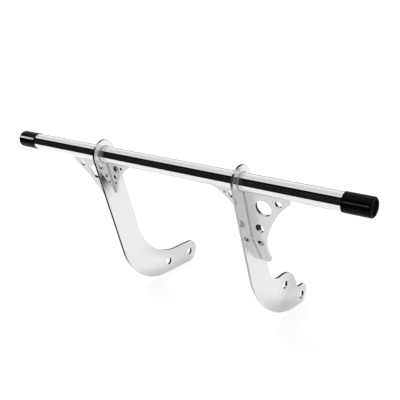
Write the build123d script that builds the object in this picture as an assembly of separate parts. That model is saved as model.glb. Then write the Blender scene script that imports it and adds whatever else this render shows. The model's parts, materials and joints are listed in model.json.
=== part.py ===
from build123d import *
import os
from math import cos, radians, sin, sqrt

# A motorcycle's straight highway bar. Millimetres, +X along the bar, +Y back towards the frame, +Z up.
# The origin is the middle of the bar's axis.

# Bar tube
TUBE_DIA = 31.75
TUBE_WALL = 2.6
TUBE_LENGTH = 780.0

# Push-on end caps
CAP_LENGTH = 48.5
CAP_SIDE_WALL = 0.8
CAP_END_WALL = 3.0
CAP_BORE_CLEARANCE = 0.05
CAP_END_GAP = 0.3
CAP_NOSE_ROUND = 4.0
CAP_RIM_ROUND = 0.3

# Bracket plates: an eye round the tube, an arm as wide that leans back, and a level tab
BRACKET_SPACING = 317.0
PLATE_THICKNESS = 5.0
PLATE_EDGE_ROUND = 1.0
BRACKET_WIDTH = 57.0
EYE_CLEARANCE = 0.1
ARM_LEAN = 19.0
TAB_BOTTOM_DROP = 310.5
BOLT_HOLE_DIA = 16.0

# Left tab: two holes in line, and a round end about the far hole
LEFT_TAB_HEIGHT = 51.0
LEFT_FAR_HOLE_BACK = 263.0
LEFT_HOLE_PITCH = 75.0
LEFT_HEEL_RADIUS = 137.0
LEFT_CROOK_RADIUS = 130.0

# Right tab: a shoulder over the near hole, a slope down to a notch, and a low round lobe for the far hole,
# which sits a little below the lobe's centre
RIGHT_NEAR_HOLE_BACK = 159.5
RIGHT_NEAR_HOLE_DROP = 245.5
RIGHT_FAR_HOLE_BACK = 229.5
RIGHT_FAR_HOLE_SINK = 3.0
RIGHT_LOBE_RADIUS = 20.5
RIGHT_SHOULDER_RISE = 27.5
RIGHT_SHOULDER_OVERHANG = 22.0
RIGHT_CROOK_DIP = 5.5
RIGHT_NOTCH_INSET = 18.0
RIGHT_HEEL_RADIUS = 183.0
RIGHT_CROOK_RADIUS = 42.0
RIGHT_SHOULDER_ROUND = 51.0
RIGHT_NOTCH_ROUND = 6.0

# Gussets between the tube and the arms
GUSSET_THICKNESS = 5.0
GUSSET_TUBE_GAP = 0.1
GUSSET_CLIP_CLEARANCE = 0.6

# Large outer gusset: it reaches along the bar, and its tail turns back at the knee to follow the arm
OUTER_REACH = 91.0
OUTER_TIP_HEIGHT = 12.0
OUTER_TIP_SLANT = 5.0
OUTER_KNEE_DEPTH = 118.0
OUTER_TAIL_LENGTH = 61.0
OUTER_TAIL_ANGLE = 15.0
OUTER_TOE_WIDTH = 20.5
OUTER_TOE_HEIGHT = 11.0
OUTER_TOE_ROUND = 6.0
OUTER_SAGITTA = 16.0

# Its lightening holes: out from the arm or in from the tip, below the tube, and from the knee
OUTER_BIG_HOLE_DIA = 30.5
OUTER_BIG_HOLE_OUT = 34.3
OUTER_BIG_HOLE_DROP = 29.8
OUTER_TIP_HOLE_DIA = 12.5
OUTER_TIP_HOLE_INSET = 25.6
OUTER_TIP_HOLE_DROP = 14.7
OUTER_MID_HOLE_DIA = 16.5
OUTER_MID_HOLE_OUT = 19.4
OUTER_MID_HOLE_ABOVE_KNEE = 27.6
OUTER_LOW_HOLE_DIA = 11.5
OUTER_LOW_HOLE_OUT = 14.4
OUTER_LOW_HOLE_BELOW_KNEE = 6.4

# Small inner gusset, flat, and its lightening holes
INNER_REACH = 61.0
INNER_TIP_HEIGHT = 2.5
INNER_TIP_SLANT = 1.0
INNER_DEPTH = 88.0
INNER_TOE_WIDTH = 5.0
INNER_TOE_HEIGHT = 4.0
INNER_TOE_ROUND = 1.5
INNER_SAGITTA = 8.0
INNER_BIG_HOLE_DIA = 14.5
INNER_BIG_HOLE_OUT = 21.0
INNER_BIG_HOLE_DROP = 13.4
INNER_TIP_HOLE_DIA = 6.0
INNER_TIP_HOLE_INSET = 26.3
INNER_TIP_HOLE_DROP = 10.4
INNER_MID_HOLE_DIA = 8.5
INNER_MID_HOLE_OUT = 11.8
INNER_MID_HOLE_ABOVE_TOE = 39.0
INNER_LOW_HOLE_DIA = 5.0
INNER_LOW_HOLE_OUT = 8.1
INNER_LOW_HOLE_ABOVE_TOE = 24.8

# Fillet welds
EYE_WELD_LEG = 1.6
SEAM_WELD_LEG = 1.8
WELD_END_GAP = 0.4
WELD_SEAT_GAP = 0.03

LEFT, RIGHT = -1, 1
SIDES = {"left": LEFT, "right": RIGHT}
TUBE_R = TUBE_DIA / 2
PLATE_X = BRACKET_SPACING / 2
GUSSET_HALF = GUSSET_THICKNESS / 2
GUSSET_TOP = TUBE_R + GUSSET_TUBE_GAP
GUSSET_CORNER_CLIP = max(EYE_WELD_LEG, SEAM_WELD_LEG) + GUSSET_CLIP_CLEARANCE
SEAM_START = GUSSET_CORNER_CLIP + WELD_END_GAP


def down_arm(lean):
    """The unit direction down an arm or tail that leans back by so many degrees."""
    return Vector(0, sin(radians(lean)), -cos(radians(lean)))


def square_back(lean):
    """The unit direction squarely back from such an arm or tail."""
    return Vector(0, cos(radians(lean)), sin(radians(lean)))


DOWN = down_arm(ARM_LEAN)
BACK = square_back(ARM_LEAN)
GUSSET_PLANE = Plane(origin=(0, 0, 0), x_dir=(1, 0, 0), z_dir=BACK)


def side_plane(x):
    """A plane square to the bar at x, whose own axes are the part's Y and Z."""
    return Plane(origin=(x, 0, 0), x_dir=(0, 1, 0), z_dir=(1, 0, 0))


def side_sketch(points):
    """A face in the side plane through points of the part that lie square to the bar."""
    return make_face(Polyline(*[(point.Y, point.Z) for point in points], close=True))


def bar_cylinder(radius, length):
    """A solid cylinder about the bar's axis, centred on the part's middle."""
    return Rot(0, 90, 0) * Cylinder(radius, length)


def tube():
    """The straight round tube."""
    return bar_cylinder(TUBE_R, TUBE_LENGTH) - bar_cylinder(TUBE_R - TUBE_WALL, TUBE_LENGTH)


def end_cap(side):
    """A thin soft sleeve closed at its nose, turned about the bar's axis."""
    bore = TUBE_R + CAP_BORE_CLEARANCE
    outside = bore + CAP_SIDE_WALL
    nose = TUBE_LENGTH / 2 + CAP_END_GAP + CAP_END_WALL
    rim = nose - CAP_LENGTH
    floor = nose - CAP_END_WALL
    corners = [(rim, bore), (rim, outside), (nose, outside), (nose, 0), (floor, 0), (floor, bore)]
    radii = [0, CAP_RIM_ROUND, CAP_NOSE_ROUND, 0, 0, 0]
    cap = revolve(make_face(FilletPolyline(*corners, radius=radii, close=True)), Axis.X)
    return cap if side == RIGHT else mirror(cap, Plane.YZ)


def arm_edge_at(across, z):
    """Where a line along the arm, so far squarely back from its middle, reaches the height z."""
    along = (z - across * BACK.Z) / DOWN.Z
    return (across * BACK.Y + along * DOWN.Y, z)


def tab_end(side):
    """The centre of the tab's round end, as Y and Z."""
    if side == LEFT:
        return LEFT_FAR_HOLE_BACK, LEFT_TAB_HEIGHT / 2 - TAB_BOTTOM_DROP
    return RIGHT_FAR_HOLE_BACK, RIGHT_LOBE_RADIUS - TAB_BOTTOM_DROP


def bolt_holes(side):
    """The two bolt-hole centres of one bracket, the near hole first, as Y and Z."""
    end_back, end_height = tab_end(side)
    if side == LEFT:
        return [(end_back - LEFT_HOLE_PITCH, end_height), (end_back, end_height)]
    return [(RIGHT_NEAR_HOLE_BACK, -RIGHT_NEAR_HOLE_DROP), (end_back, end_height - RIGHT_FAR_HOLE_SINK)]


def upper_corners(side, tab_top):
    """The corners from the top of the tab's end forward to the arm's rear edge, each with its radius."""
    rear = BRACKET_WIDTH / 2
    if side == LEFT:
        return [(arm_edge_at(rear, tab_top), LEFT_CROOK_RADIUS)]
    shoulder = RIGHT_SHOULDER_RISE - RIGHT_NEAR_HOLE_DROP
    return [
        ((RIGHT_FAR_HOLE_BACK - RIGHT_NOTCH_INSET, tab_top), RIGHT_NOTCH_ROUND),
        ((RIGHT_NEAR_HOLE_BACK + RIGHT_SHOULDER_OVERHANG, shoulder), RIGHT_SHOULDER_ROUND),
        (arm_edge_at(rear, shoulder - RIGHT_CROOK_DIP), RIGHT_CROOK_RADIUS),
    ]


def bracket_sketch(side):
    """The plate's outline: eye, front edge, heel, round tab end, tab top and rear edge."""
    half = BRACKET_WIDTH / 2
    bottom = -TAB_BOTTOM_DROP
    end_back, end_height = tab_end(side)
    end_radius = end_height - bottom
    tab_low = (end_back, bottom)
    tab_tip = (end_back + end_radius, end_height)
    tab_high = (end_back, end_height + end_radius)
    eye_front = (-half * BACK.Y, -half * BACK.Z)
    eye_top = (-half * DOWN.Y, -half * DOWN.Z)
    eye_rear = (half * BACK.Y, half * BACK.Z)
    heel_radius = LEFT_HEEL_RADIUS if side == LEFT else RIGHT_HEEL_RADIUS
    corners = upper_corners(side, tab_high[1])
    points = [point for point, radius in corners]
    radii = [radius for point, radius in corners]
    curves = [
        FilletPolyline(eye_front, arm_edge_at(-half, bottom), tab_low, radius=heel_radius),
        ThreePointArc(tab_low, tab_tip, tab_high),
        FilletPolyline(tab_high, *points, eye_rear, radius=radii),
        ThreePointArc(eye_rear, eye_top, eye_front),
    ]
    return make_face([edge for curve in curves for edge in curve.edges()])


def bracket(side):
    """One plate cut to its outline, with softened edges, the bore for the tube and two bolt holes."""
    plate = extrude(side_plane(side * PLATE_X) * bracket_sketch(side), PLATE_THICKNESS / 2, both=True)
    plate = fillet(plate.faces().filter_by(Axis.X).edges(), PLATE_EDGE_ROUND)
    plate -= bar_cylinder(TUBE_R + EYE_CLEARANCE, 2 * BRACKET_SPACING)
    for back, height in bolt_holes(side):
        plate -= Pos(side * PLATE_X, back, height) * bar_cylinder(BOLT_HOLE_DIA / 2, 2 * PLATE_THICKNESS)
    return plate


def gusset_strip(reach, rear, front):
    """A strip of sheet between two side-on lines of points, reaching along the bar from x = 0."""
    return extrude(side_plane(0) * side_sketch(rear + front[::-1]), reach)


def gusset_outline(reach, tip_height, tip_slant, depth, toe_width, toe_height, toe_round, sagitta):
    """The gusset's outline out from the arm and down from the tube, its long free edge a hollow arc."""
    tip = (reach - tip_slant, TUBE_R + tip_height)
    toe = (toe_width, depth - toe_height)
    clip_down = (0, GUSSET_TOP + GUSSET_CORNER_CLIP)
    clip_out = (GUSSET_CORNER_CLIP, GUSSET_TOP)
    curves = [
        Polyline(clip_down, clip_out, (reach, GUSSET_TOP), tip),
        SagittaArc(tip, toe, sagitta),
        FilletPolyline(toe, (toe_width, depth), (0, depth), clip_down, radius=[toe_round, 0]),
    ]
    return make_face([edge for curve in curves for edge in curve.edges()])


def gusset(strip, outline, holes):
    """A strip trimmed to its outline, with round holes given as centre, square direction and diameter."""
    body = strip & extrude(GUSSET_PLANE * outline, strip.bounding_box().size.length, both=True)
    for centre, square, diameter in holes:
        body -= Plane(origin=centre, z_dir=square) * Cylinder(diameter / 2, 4 * GUSSET_THICKNESS)
    return body


def gusset_point(out, depth):
    """A point on the gusset's middle sheet, so far out from the arm and down it from the tube's axis."""
    return Vector(out, 0, 0) + DOWN * depth


def outer_gusset():
    """The large brace with its bent tail, on the +X side of a plate whose face is at x = 0."""
    tail_down = down_arm(ARM_LEAN + OUTER_TAIL_ANGLE)
    tail_back = square_back(ARM_LEAN + OUTER_TAIL_ANGLE)
    mitre = (BACK + tail_back).normalized() * (GUSSET_HALF / cos(radians(OUTER_TAIL_ANGLE / 2)))
    depth = OUTER_KNEE_DEPTH + OUTER_TAIL_LENGTH * cos(radians(OUTER_TAIL_ANGLE))
    top = DOWN * GUSSET_TOP
    knee = DOWN * OUTER_KNEE_DEPTH
    end = knee + tail_down * (OUTER_TAIL_LENGTH + GUSSET_THICKNESS)
    rear = [top + BACK * GUSSET_HALF, knee + mitre, end + tail_back * GUSSET_HALF]
    front = [top - BACK * GUSSET_HALF, knee - mitre, end - tail_back * GUSSET_HALF]
    strip = gusset_strip(OUTER_REACH, rear, front)
    outline = gusset_outline(
        OUTER_REACH, OUTER_TIP_HEIGHT, OUTER_TIP_SLANT, depth,
        OUTER_TOE_WIDTH, OUTER_TOE_HEIGHT, OUTER_TOE_ROUND, OUTER_SAGITTA,
    )
    low = gusset_point(OUTER_LOW_HOLE_OUT, OUTER_KNEE_DEPTH) + tail_down * OUTER_LOW_HOLE_BELOW_KNEE
    mid_depth = OUTER_KNEE_DEPTH - OUTER_MID_HOLE_ABOVE_KNEE
    tip_out = OUTER_REACH - OUTER_TIP_HOLE_INSET
    holes = [
        (gusset_point(OUTER_BIG_HOLE_OUT, TUBE_R + OUTER_BIG_HOLE_DROP), BACK, OUTER_BIG_HOLE_DIA),
        (gusset_point(tip_out, TUBE_R + OUTER_TIP_HOLE_DROP), BACK, OUTER_TIP_HOLE_DIA),
        (gusset_point(OUTER_MID_HOLE_OUT, mid_depth), BACK, OUTER_MID_HOLE_DIA),
        (low, tail_back, OUTER_LOW_HOLE_DIA),
    ]
    return gusset(strip, outline, holes)


def inner_gusset():
    """The small flat brace, on the +X side of a plate whose face is at x = 0."""
    spine = [DOWN * GUSSET_TOP, DOWN * INNER_DEPTH]
    rear = [point + BACK * GUSSET_HALF for point in spine]
    front = [point - BACK * GUSSET_HALF for point in spine]
    strip = gusset_strip(INNER_REACH, rear, front)
    outline = gusset_outline(
        INNER_REACH, INNER_TIP_HEIGHT, INNER_TIP_SLANT, INNER_DEPTH,
        INNER_TOE_WIDTH, INNER_TOE_HEIGHT, INNER_TOE_ROUND, INNER_SAGITTA,
    )
    tip_out = INNER_REACH - INNER_TIP_HOLE_INSET
    mid_depth = INNER_DEPTH - INNER_MID_HOLE_ABOVE_TOE
    low_depth = INNER_DEPTH - INNER_LOW_HOLE_ABOVE_TOE
    holes = [
        (gusset_point(INNER_BIG_HOLE_OUT, TUBE_R + INNER_BIG_HOLE_DROP), BACK, INNER_BIG_HOLE_DIA),
        (gusset_point(tip_out, TUBE_R + INNER_TIP_HOLE_DROP), BACK, INNER_TIP_HOLE_DIA),
        (gusset_point(INNER_MID_HOLE_OUT, mid_depth), BACK, INNER_MID_HOLE_DIA),
        (gusset_point(INNER_LOW_HOLE_OUT, low_depth), BACK, INNER_LOW_HOLE_DIA),
    ]
    return gusset(strip, outline, holes)


def eye_weld():
    """A fillet ring round the tube, on the +X side of a plate whose face is at x = 0."""
    seat = TUBE_R + WELD_SEAT_GAP
    corners = [(0, seat), (EYE_WELD_LEG, seat), (0, seat + EYE_WELD_LEG)]
    return revolve(make_face(Polyline(*corners, close=True)), Axis.X)


def tube_seam_weld(end):
    """The pair of fillets between a gusset's two faces and the tube, so far out from the arm."""
    toe = GUSSET_HALF + SEAM_WELD_LEG
    root_depth = sqrt(TUBE_R**2 - GUSSET_HALF**2)
    toe_depth = sqrt(TUBE_R**2 - toe**2)
    beads = []
    for face in (BACK, -BACK):
        corners = [
            face * GUSSET_HALF + DOWN * (root_depth - SEAM_WELD_LEG),
            face * GUSSET_HALF + DOWN * (root_depth + SEAM_WELD_LEG),
            face * toe + DOWN * toe_depth,
        ]
        bead = extrude(side_plane(SEAM_START) * side_sketch(corners), end - WELD_END_GAP - SEAM_START)
        beads.append(bead - bar_cylinder(TUBE_R + WELD_SEAT_GAP, TUBE_LENGTH))
    return beads


def arm_seam_beads(origin, lean, start, end):
    """The pair of fillets between a gusset's two faces and the plate, along one straight run of its root."""
    beads = []
    for face in (square_back(lean), -square_back(lean)):
        root = face * GUSSET_HALF
        along = down_arm(lean)
        plane = Plane(origin=origin + root + along * start, x_dir=(1, 0, 0), z_dir=along)
        across = plane.to_local_coords(plane.origin + face)
        corners = [(0, 0), (SEAM_WELD_LEG, 0), (across.X * SEAM_WELD_LEG, across.Y * SEAM_WELD_LEG)]
        beads.append(extrude(plane * make_face(Polyline(*corners, close=True)), end - start, dir=along))
    return beads


def outer_arm_weld():
    """The large gusset's root fillets: one run down the arm and one down the tail, stopped at the knee."""
    knee_gap = SEAM_WELD_LEG + WELD_END_GAP
    tail_lean = ARM_LEAN + OUTER_TAIL_ANGLE
    upper = arm_seam_beads(Vector(0, 0, 0), ARM_LEAN, GUSSET_TOP + SEAM_START, OUTER_KNEE_DEPTH - knee_gap)
    tail_end = OUTER_TAIL_LENGTH - GUSSET_THICKNESS
    return upper + arm_seam_beads(DOWN * OUTER_KNEE_DEPTH, tail_lean, knee_gap, tail_end)


def inner_arm_weld():
    """The small gusset's root fillets, in one run."""
    return arm_seam_beads(Vector(0, 0, 0), ARM_LEAN, GUSSET_TOP + SEAM_START, INNER_DEPTH - WELD_END_GAP)


def placed(shapes, side, facing):
    """Shapes made against a plate at x = 0, set on the outward or inward face of one bracket, as one node."""
    at = Pos(side * PLATE_X + facing * PLATE_THICKNESS / 2, 0, 0)
    turned = shapes if facing == RIGHT else [mirror(shape, Plane.YZ) for shape in shapes]
    solids = [at * solid for shape in turned for solid in shape.solids()]
    return solids[0] if len(solids) == 1 else Compound(children=solids)


outer_seam = tube_seam_weld(OUTER_REACH - OUTER_TIP_SLANT)
inner_seam = tube_seam_weld(INNER_REACH - INNER_TIP_SLANT)
nodes = {"tube": tube()}
for name, side in SIDES.items():
    nodes[f"{name}_end_cap"] = end_cap(side)
    nodes[f"{name}_bracket"] = bracket(side)
    nodes[f"{name}_outer_gusset"] = placed([outer_gusset()], side, side)
    nodes[f"{name}_inner_gusset"] = placed([inner_gusset()], side, -side)
    nodes[f"{name}_eye_outer_weld"] = placed([eye_weld()], side, side)
    nodes[f"{name}_eye_inner_weld"] = placed([eye_weld()], side, -side)
    nodes[f"{name}_outer_gusset_tube_weld"] = placed(outer_seam, side, side)
    nodes[f"{name}_inner_gusset_tube_weld"] = placed(inner_seam, side, -side)
    nodes[f"{name}_outer_gusset_arm_weld"] = placed(outer_arm_weld(), side, side)
    nodes[f"{name}_inner_gusset_arm_weld"] = placed(inner_arm_weld(), side, -side)

os.makedirs("parts", exist_ok=True)
for name, shape in nodes.items():
    export_step(shape, f"parts/{name}.step")
    print(name, round(shape.volume, 1))
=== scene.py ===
# %% [markdown]
# # A straight highway bar in chrome
# A highway bar is a plain steel tube that crosses the front of a motorcycle, welded through two flat brackets
# that bolt to the frame. Nearly everything on it is chrome, so this lesson is about two things: surfaces that
# are smooth enough to be mirrors, and a small studio that gives those mirrors something to show.
# The construction comes first, as a fixed frame. Every piece below is dressed around it and never moves it.

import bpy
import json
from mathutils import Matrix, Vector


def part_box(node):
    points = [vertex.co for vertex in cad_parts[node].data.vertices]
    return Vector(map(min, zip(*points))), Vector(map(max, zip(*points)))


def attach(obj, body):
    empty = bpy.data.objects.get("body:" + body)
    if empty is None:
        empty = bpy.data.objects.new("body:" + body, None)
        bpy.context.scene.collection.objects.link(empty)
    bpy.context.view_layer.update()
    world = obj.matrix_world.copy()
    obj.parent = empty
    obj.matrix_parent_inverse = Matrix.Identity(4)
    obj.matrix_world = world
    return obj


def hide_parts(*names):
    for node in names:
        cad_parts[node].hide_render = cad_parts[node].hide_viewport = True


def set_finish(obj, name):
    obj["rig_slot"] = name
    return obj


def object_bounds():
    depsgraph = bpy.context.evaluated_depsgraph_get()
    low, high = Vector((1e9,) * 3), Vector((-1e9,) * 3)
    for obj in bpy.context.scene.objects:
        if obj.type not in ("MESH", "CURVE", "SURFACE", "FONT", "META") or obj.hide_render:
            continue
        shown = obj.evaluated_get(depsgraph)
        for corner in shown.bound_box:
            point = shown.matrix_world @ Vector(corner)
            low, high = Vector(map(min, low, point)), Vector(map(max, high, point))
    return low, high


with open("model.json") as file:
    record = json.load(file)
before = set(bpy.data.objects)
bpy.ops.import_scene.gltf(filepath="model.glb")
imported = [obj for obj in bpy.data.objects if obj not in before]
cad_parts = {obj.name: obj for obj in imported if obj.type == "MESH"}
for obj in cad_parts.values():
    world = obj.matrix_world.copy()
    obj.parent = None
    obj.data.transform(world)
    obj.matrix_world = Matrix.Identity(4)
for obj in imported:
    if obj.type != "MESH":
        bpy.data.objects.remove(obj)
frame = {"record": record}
CAD_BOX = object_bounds()

# %% Tools of the trade
import json
from math import cos, degrees, pi, radians, sin, tan

import bmesh
import bpy
import numpy as np
from mathutils import Vector
from mathutils.geometry import delaunay_2d_cdt

print("Blender", bpy.app.version_string, "with numpy", np.__version__)

# %% [markdown]
# ## Sizes
# What the frame can tell is read from it: the tube's radius and ends, where the plates stand and how thick
# they are. The shapes of the flat pieces are drawn again here from the same few sizes as the construction,
# in metres, because a mirror needs far smoother edges than a working model does.

# %% Read the sizes from the frame
MM = 0.001
SIDES = {"left": -1, "right": 1}
tube_low, tube_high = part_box("tube")
TUBE_R = (tube_high.z - tube_low.z) / 2
TUBE_END = tube_high.x
plate_low, plate_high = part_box("right_bracket")
PLATE_X = (plate_low.x + plate_high.x) / 2
PLATE_T = plate_high.x - plate_low.x
TAB_BOTTOM = plate_low.z
EYE_R = plate_high.z
print(f"tube radius {TUBE_R / MM:.2f} mm, plates {PLATE_T / MM:.1f} mm thick at x = {PLATE_X / MM:.1f} mm")

# %% The lean of the arms
ARM_LEAN = radians(19)
DOWN = np.array([0, sin(ARM_LEAN), -cos(ARM_LEAN)])
BACK = np.array([0, cos(ARM_LEAN), sin(ARM_LEAN)])
print("down an arm:", DOWN.round(3), "and square to it:", BACK.round(3))

# %% [markdown]
# ## From arrays to pieces
# Most surfaces here are grids of points, so one function can weave the faces of all of them: each face joins a
# point, its neighbour and the pair in the next row. A second function puts the arrays into a mesh, welds
# points that fall together, as at the tip of a weld, turns the faces outwards and names the body it rides on.

# %% Weave a grid
def woven(rows, columns, close_rows=False, close_columns=False):
    """Four-sided faces of a grid of points, as numbers of points counted row by row."""
    row = np.arange(rows if close_rows else rows - 1)[:, None]
    column = np.arange(columns if close_columns else columns - 1)[None, :]
    row_after = (row + 1) % rows
    column_after = (column + 1) % columns
    corners = [
        row * columns + column,
        row * columns + column_after,
        row_after * columns + column_after,
        row_after * columns + column,
    ]
    return np.stack(corners, axis=-1).reshape(-1, 4)


print("a grid of 3 by 4 points has", len(woven(3, 4)), "faces")

# %% Make a piece
SAME_PLACE = 0.001 * MM
BODY_OF = {node: body for body, nodes in frame["record"]["behaviour"]["bodies"].items() for node in nodes}
SLOT_OF = {part["node"]: part["material_slot"] for part in frame["record"]["subparts"]}
pieces = []


def piece(node, points, faces, flat=(), cut=None):
    """A mesh that stands for one node of the frame. Faces are smooth, apart from those listed as flat.
    The optional cut value of each point, 0 to 1, marks dull sawn edges and bored holes for the material, and the
    painted shade that lies on them."""
    mesh = bpy.data.meshes.new(f"{node}_surface")
    mesh.from_pydata(points.tolist(), [], [*faces, *flat])
    mesh.polygons.foreach_set("use_smooth", np.arange(len(mesh.polygons)) < len(faces))
    if cut is not None:
        mesh.attributes.new("cut", "FLOAT", "POINT").data.foreach_set("value", cut.astype(np.float32))
    solid = bmesh.new()
    solid.from_mesh(mesh)
    bmesh.ops.remove_doubles(solid, verts=solid.verts, dist=SAME_PLACE)
    bmesh.ops.recalc_face_normals(solid, faces=solid.faces)
    solid.to_mesh(mesh)
    solid.free()
    made = bpy.data.objects.new(f"{node}_looks", mesh)
    bpy.context.scene.collection.objects.link(made)
    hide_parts(node)
    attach(made, BODY_OF[node])
    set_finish(made, SLOT_OF[node])
    print(f"{made.name}: {len(mesh.polygons)} faces")
    return made


# %% [markdown]
# ## The tube and its caps
# Both are lathe work: a profile turned round the bar's axis. The tube could be a stock cylinder, but a mirror
# shows every facet, so the profile is carried round in many small steps, with a softened lip at each end.
# A cap is a thin dipped sleeve of soft vinyl. It hugs the tube, ends in a rolled lip and has a rounded nose.

# %% Turn a profile round the bar
TURN = 2 * pi
ROUND_STEPS = 256
QUARTER_STEPS = 10


def quarter(centre, radius, start):
    """A quarter of a circle about a centre: radius times (cos a, sin a), a running 90 degrees on from start."""
    angle = start + np.linspace(0, pi / 2, QUARTER_STEPS)
    return np.array(centre) + radius * np.stack([np.cos(angle), np.sin(angle)], axis=1)


def turned(profile):
    """Carries rows of (x, r) round the bar's axis: y is r cos a and z is r sin a, for angles a all round."""
    angle = np.linspace(0, TURN, ROUND_STEPS, endpoint=False)
    x, r = np.array(profile)[:, :, None].transpose(1, 0, 2)
    points = np.stack(np.broadcast_arrays(x, r * np.cos(angle), r * np.sin(angle)), axis=-1)
    return points.reshape(-1, 3)


print(f"one step round the tube is {TURN * TUBE_R / ROUND_STEPS / MM:.2f} mm")

# %% Turn the tube
TUBE_WALL = 2.6 * MM
TUBE_LIP = 0.4 * MM


def tube_piece():
    """The tube: outer wall, softened lips, bore and the other lips, as one closed profile. A row of points just
    before each arc keeps the long walls' mirror straight."""
    bore = TUBE_R - TUBE_WALL
    lip_x, straight = TUBE_END - TUBE_LIP, TUBE_END - 2 * TUBE_LIP
    right = np.vstack([
        [(straight, TUBE_R)],
        quarter((lip_x, TUBE_R - TUBE_LIP), TUBE_LIP, 0)[::-1],
        quarter((lip_x, bore + TUBE_LIP), TUBE_LIP, -pi / 2)[::-1],
        [(straight, bore)],
    ])
    profile = np.vstack([right, right[::-1] * (-1, 1)])
    return piece("tube", turned(profile), woven(len(profile), ROUND_STEPS, True, True).tolist())


pieces.append(tube_piece())

# %% Turn the caps
CAP_FIT = 0.05 * MM
CAP_END = 3 * MM
CAP_NOSE = 4 * MM
CAP_STRAIGHT = 0.3 * MM


def cap_piece(side):
    """One cap, from the middle of its nose out over the sleeve to the rolled lip and back in along the bore."""
    low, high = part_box(f"{side}_end_cap")
    outside = (high.z - low.z) / 2
    rim, nose = (low.x, high.x) if side == "right" else (-high.x, -low.x)
    bore = TUBE_R + CAP_FIT
    lip = (outside - bore) / 2
    shoulder, sleeve_end, inside = nose - CAP_NOSE, rim + lip, nose - CAP_END
    profile = np.vstack([
        [(nose, 0), (nose, outside - CAP_NOSE - CAP_STRAIGHT)],
        quarter((shoulder, outside - CAP_NOSE), CAP_NOSE, 0),
        [(shoulder - CAP_STRAIGHT, outside), (sleeve_end + CAP_STRAIGHT, outside)],
        quarter((sleeve_end, bore + lip), lip, pi / 2),
        quarter((sleeve_end, bore + lip), lip, pi),
        [(sleeve_end + CAP_STRAIGHT, bore), (inside - CAP_STRAIGHT, bore), (inside, bore), (inside, 0)],
    ])
    points = turned(profile * (SIDES[side], 1))
    return piece(f"{side}_end_cap", points, woven(len(profile), ROUND_STEPS, False, True).tolist())


pieces += [cap_piece(side) for side in SIDES]

# %% [markdown]
# ## Drawing flat outlines
# The brackets and gussets are cut from plate. A cutter follows straight runs joined by arcs that just touch
# them, so an outline is a few corner points, each with its own radius. The arc at a corner starts
# radius x tan(half the turn) before it, and no point between is drawn by hand.

# %% Straight runs with rounded corners
STEP = 1.0 * MM
CORNER_POINTS = 6


def unit(vector):
    """The same direction, with a length of 1."""
    return vector / np.linalg.norm(vector)


def rounded(corners, radii):
    """Straight runs through corners, with each inner corner replaced by the arc that touches both its runs.
    A point of the arc is centre + cos s (start - centre) + sin s radius along, for s from 0 to the turn."""
    corners = np.array(corners, float)
    path = [corners[:1]]
    for before, corner, after, radius in zip(corners, corners[1:], corners[2:], radii):
        along, onward = unit(corner - before), unit(after - corner)
        cross = along[0] * onward[1] - along[1] * onward[0]
        turn = np.arctan2(abs(cross), along @ onward)
        start = corner - along * radius * tan(turn / 2)
        inward = np.array([-along[1], along[0]]) * np.sign(cross)
        centre = start + inward * radius
        angle = np.linspace(0, turn, max(CORNER_POINTS, int(radius * turn / STEP)))[:, None]
        path.append(centre + np.cos(angle) * (start - centre) + np.sin(angle) * radius * along)
    return np.vstack([*path, corners[-1:]])


sample = rounded([(0, 0), (50 * MM, 0), (50 * MM, 50 * MM)], [20 * MM])
print("a square corner of 20 mm radius takes", len(sample) - 2, "points")

# %% Arcs and circles
ARC_POINTS = 8
HOLLOW_POINTS = 12


def arc(centre, radius, start, end):
    """Points on a circle from one angle to another: centre + radius (cos a, sin a)."""
    angle = np.linspace(start, end, max(ARC_POINTS, int(radius * abs(end - start) / STEP)))
    return np.array(centre) + radius * np.stack([np.cos(angle), np.sin(angle)], axis=1)


def circle(centre, radius):
    """An arc all the way round, without its last point, which is the first again."""
    return arc(centre, radius, 0, TURN)[:-1]


def hollow_arc(start, end, depth):
    """An arc between two points that bows to the left of the way by a depth. With half the chord h, its radius
    is (h h + depth depth) / (2 depth), and a point is centre + radius (sin b along + cos b left)."""
    start, end = np.array(start), np.array(end)
    half = np.linalg.norm(end - start) / 2
    along = unit(end - start)
    left = np.array([-along[1], along[0]])
    radius = (half**2 + depth**2) / (2 * depth)
    reach = np.arcsin(half / radius)
    angle = np.linspace(-reach, reach, max(HOLLOW_POINTS, int(2 * radius * reach / STEP)))[:, None]
    centre = (start + end) / 2 + left * (depth - radius)
    return centre + radius * (np.sin(angle) * along + np.cos(angle) * left)


sample = circle((0, 0), 8 * MM)
print("a hole of 8 mm radius takes", len(sample), "points")

# %% Even spacing
RUN_STEP = 4 * MM
DOUBLED = 0.01 * MM
ROOM = 0.45


def evenly(loop):
    """A closed loop without doubled points, and with points added so that no straight run is a long one."""
    loop = loop[np.linalg.norm(loop - np.roll(loop, 1, axis=0), axis=1) > DOUBLED]
    ring = np.vstack([loop, loop[:1]])
    length = np.concatenate([[0], np.cumsum(np.linalg.norm(np.diff(ring, axis=0), axis=1))])
    extra = np.arange(0, length[-1], RUN_STEP)
    nearest = np.abs(extra[:, None] - length[None, :]).min(axis=1)
    where = np.sort(np.concatenate([length[:-1], extra[nearest > ROOM * RUN_STEP]]))
    return np.stack([np.interp(where, length, ring[:, 0]), np.interp(where, length, ring[:, 1])], axis=1)


print("evenly spaced it takes", len(evenly(sample)))

# %% [markdown]
# ## From outline to plate
# A plate has two flat faces and an edge. The edge is a profile carried along the outline: a quarter circle,
# a straight wall and another quarter circle. Polished plate has such soft edges, and they are what draws a
# bright and a dark line round a chrome part. The faces are filled with triangles between the inset loops.

# %% The profile of an edge
EDGE_STEPS = 7


def edge_profile(thickness, soft):
    """Rows of (inset, height) from the upper face round the edge to the lower one."""
    bend = np.linspace(0, pi / 2, EDGE_STEPS)
    upper = np.stack([soft * (1 - np.sin(bend)), thickness / 2 - soft * (1 - np.cos(bend))], axis=1)
    return np.vstack([upper, upper[::-1] * (1, -1)])


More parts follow.
